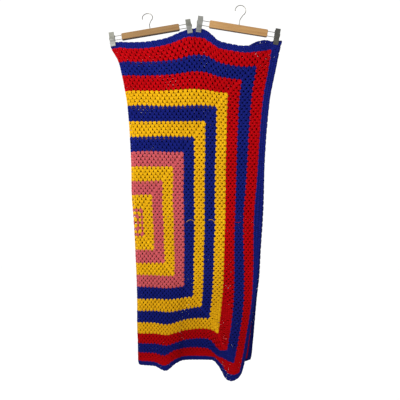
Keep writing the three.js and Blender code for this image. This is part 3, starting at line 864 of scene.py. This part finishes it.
def wood(name, hanger):
    """Lacquered wood, its grain along one bar, with painted shade on its underside and its hanger's painted
    tone.
    """
    material, tree, shader = nodes_of(name)
    place = node(tree, "ShaderNodeTexCoord").outputs["Object"]
    turn = hanger_turn(hanger).inverted()
    middle = turn @ (hanger_middle(hanger) * MM)
    laid = node(tree, "ShaderNodeMapping", {
        "Vector": place, "Location": -middle, "Rotation": turn.to_euler("XYZ")}).outputs[0]
    rings = noise(tree, stretched(tree, laid, GRAIN_SCALE), scale=2.2, detail=4.0, roughness=0.55)
    pores = noise(tree, stretched(tree, laid, PORE_SCALE), scale=1.0)
    blotch = noise(tree, laid, BLOTCH_SCALE)
    colour = mix(tree, contrast(tree, rings, GRAIN_GAIN), WOOD_DARK, WOOD_LIGHT)
    colour = mix(tree, math_node(tree, "MULTIPLY", blotch, BLOTCH_SHARE), colour, WOOD_BLOTCH)
    sunk = math_node(tree, "SUBTRACT", PORE_BELOW, pores, clamp=True)
    colour = mix(tree, math_node(tree, "MULTIPLY", sunk, PORE_GAIN), colour, WOOD_PORE)
    # Painted shade on the underside, where the bar's sides face down.
    normal = node(tree, "ShaderNodeNewGeometry").outputs["Normal"]
    facing_up = node(tree, "ShaderNodeSeparateXYZ", {0: normal}).outputs[2]
    under_shade = math_node(tree, "MULTIPLY_ADD", facing_up, -UNDER_SHADE_RATE, UNDER_SHADE_RATE * UNDER_SHADE_FROM, clamp=True)
    colour = mix(tree, under_shade, colour, WOOD_UNDER_SHADE)
    # The hanger's tone: painted shade on the left bar, painted light on the right one.
    tone = hanger["tone"]
    colour = mix(tree, 1.0, colour, (tone, tone, tone, 1), "MULTIPLY")
    tree.links.new(colour, shader.inputs["Base Color"])
    tree.links.new(bump(tree, pores, distance=0.0003, strength=0.35), shader.inputs["Normal"])
    shader.inputs["Roughness"].default_value = 0.5
    shader.inputs["Specular IOR Level"].default_value = 0.3
    shader.inputs["Coat Weight"].default_value = 0.06
    shader.inputs["Coat Roughness"].default_value = 0.3
    return material


# How much of its tone the metal keeps on the clips' handles, as painted shade on these upper plates, how far
# above a jaw they start, in mm, and how fast the tone changes there, for each metre.
HANDLE_SHADE_SHARE = (0.64, 0.64, 0.59, 1)
HANDLE_ABOVE_JAW = 32
HANDLE_EDGE = 250.0
# How fine the metal's patches are, and its scratches up and down. How much the patches change its tone and
# its roughness.
PATCH_SCALE = 45.0
SCRATCH_SCALE = 90.0
PATCH_GAIN = 2.0
PATCH_ROUGHNESS = 0.25


def metal(name, body, shade, roughness, brushed, handle_from=None):
    """Plated or stamped metal, dulled in patches and, from a height in metres, darkened all over by painted
    shade.

    brushed is how fine its scratches are sideways.
    """
    material, tree, shader = nodes_of(name)
    place = node(tree, "ShaderNodeTexCoord").outputs["Object"]
    patch = noise(tree, place, PATCH_SCALE, detail=3.0)
    drawn = stretched(tree, place, (brushed, brushed, SCRATCH_SCALE))
    scratch = noise(tree, drawn, scale=1.0, detail=3.0, roughness=0.6)
    colour = mix(tree, contrast(tree, patch, PATCH_GAIN), shade, body)
    if handle_from is not None:
        # Painted shade on the handles, from handle_from upwards.
        height = node(tree, "ShaderNodeSeparateXYZ", {0: place}).outputs[2]
        above = math_node(tree, "SUBTRACT", height, handle_from)
        handle = math_node(tree, "MULTIPLY", above, HANDLE_EDGE, clamp=True)
        handle_shade = mix(tree, handle, (1, 1, 1, 1), HANDLE_SHADE_SHARE)
        colour = mix(tree, 1.0, colour, handle_shade, "MULTIPLY")
    tree.links.new(colour, shader.inputs["Base Color"])
    uneven = math_node(tree, "MULTIPLY_ADD", patch, PATCH_ROUGHNESS, roughness)
    tree.links.new(uneven, shader.inputs["Roughness"])
    tree.links.new(bump(tree, scratch, distance=0.0002, strength=0.25), shader.inputs["Normal"])
    shader.inputs["Metallic"].default_value = 1.0
    return material


WIRE = metal("wire", linear(138, 136, 128), linear(96, 94, 88), roughness=0.32, brushed=300.0)
# Each clip has a tone of its own. Its patches keep CLIP_SHADE of it, and both
# are less blue than grey.
CLIP_TONES = {"left_left": 150, "left_right": 144, "right_left": 126, "right_right": 88}
CLIP_SHADE = 0.8
CLIP_LESS_BLUE = 5


def clip_steel(name, tone, handle_from):
    body = linear(tone, tone, tone - CLIP_LESS_BLUE)
    shade = linear(*(CLIP_SHADE * part for part in (tone, tone, tone - CLIP_LESS_BLUE)))
    return metal(name, body, shade, roughness=0.5, brushed=1400.0, handle_from=handle_from)


# Only the left hanger's clips have handles darkened by painted shade.
jaws = iter(JAWS)
for hanger_name, hanger in HANGERS.items():
    start = f"{hanger_name}_hanger_"
    dress(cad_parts[start + "bar"], wood(f"wood_{hanger_name}", hanger))
    dress(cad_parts[start + "hook"], WIRE)
    for end in ("left", "right"):
        dress(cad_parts[f"{start}{end}_rail"], WIRE)
        clip = f"{hanger_name}_{end}"
        jaw_z = next(jaws)[2]
        handle_from = (jaw_z + HANDLE_ABOVE_JAW) * MM if hanger_name == "left" else None
        steel = clip_steel(f"clip_steel_{clip}", CLIP_TONES[clip], handle_from)
        for plate in ("front_plate", "back_plate"):
            dress(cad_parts[f"{start}{end}_clip_{plate}"], steel)
        dress(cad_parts[f"{start}{end}_clip_spring"], WIRE)

# Stage, lights and camera, in metres and watts. The lights are given by place, target, size and power.
FLOOR_REACH = 9.0
FLOOR_HEIGHT = -2.3
FLOOR_TONE = (0.95, 0.95, 0.95, 1)
LIGHTS = {
    "key": ((-1.3, -1.5, 0.2), (-0.3, 0, 0.0), 1.0, 58),
    "fill": ((2.2, -2.4, 0.4), (0, 0, -0.6), 2.0, 6),
}
WORLD_STRENGTH = 1.06
VIEW_DISTANCE = 2.1
VIEW_WIDTH = 1.70
VIEW_ACROSS = 0.0276
VIEW_HEIGHT = -0.818
SENSOR_WIDTH = 36


def ground():
    signs = [(-1, -1), (1, -1), (1, 1), (-1, 1)]
    corners = [(x * FLOOR_REACH, y * FLOOR_REACH, FLOOR_HEIGHT) for x, y in signs]
    mesh = bpy.data.meshes.new("floor")
    mesh.from_pydata(corners, [], [(0, 1, 2, 3)])
    floor = bpy.data.objects.new("floor", mesh)
    scene.collection.objects.link(floor)
    material, tree, shader = nodes_of("floor")
    shader.inputs["Base Color"].default_value = FLOOR_TONE
    shader.inputs["Roughness"].default_value = 0.9
    dress(floor, material)


def area_light(name, place, target, size, power):
    data = bpy.data.lights.new(name, "AREA")
    data.shape = "DISK"
    data.size = size
    data.energy = power
    lamp = bpy.data.objects.new(name, data)
    lamp.location = place
    lamp.rotation_euler = (Vector(target) - Vector(place)).to_track_quat("-Z", "Y").to_euler()
    scene.collection.objects.link(lamp)


ground()
for light_name, settings in LIGHTS.items():
    area_light(light_name, *settings)

world = bpy.data.worlds.new("world")
world.use_nodes = True
world.node_tree.nodes["Background"].inputs["Color"].default_value = (1, 1, 1, 1)
world.node_tree.nodes["Background"].inputs["Strength"].default_value = WORLD_STRENGTH
scene.world = world
scene.view_settings.view_transform = "Standard"

camera_data = bpy.data.cameras.new("camera")
camera_data.sensor_width = SENSOR_WIDTH
camera_data.lens = SENSOR_WIDTH * VIEW_DISTANCE / VIEW_WIDTH
camera = bpy.data.objects.new("camera", camera_data)
camera.location = (VIEW_ACROSS, -VIEW_DISTANCE, VIEW_HEIGHT)
camera.rotation_euler = (math.pi / 2, 0, 0)
scene.collection.objects.link(camera)
scene.camera = camera
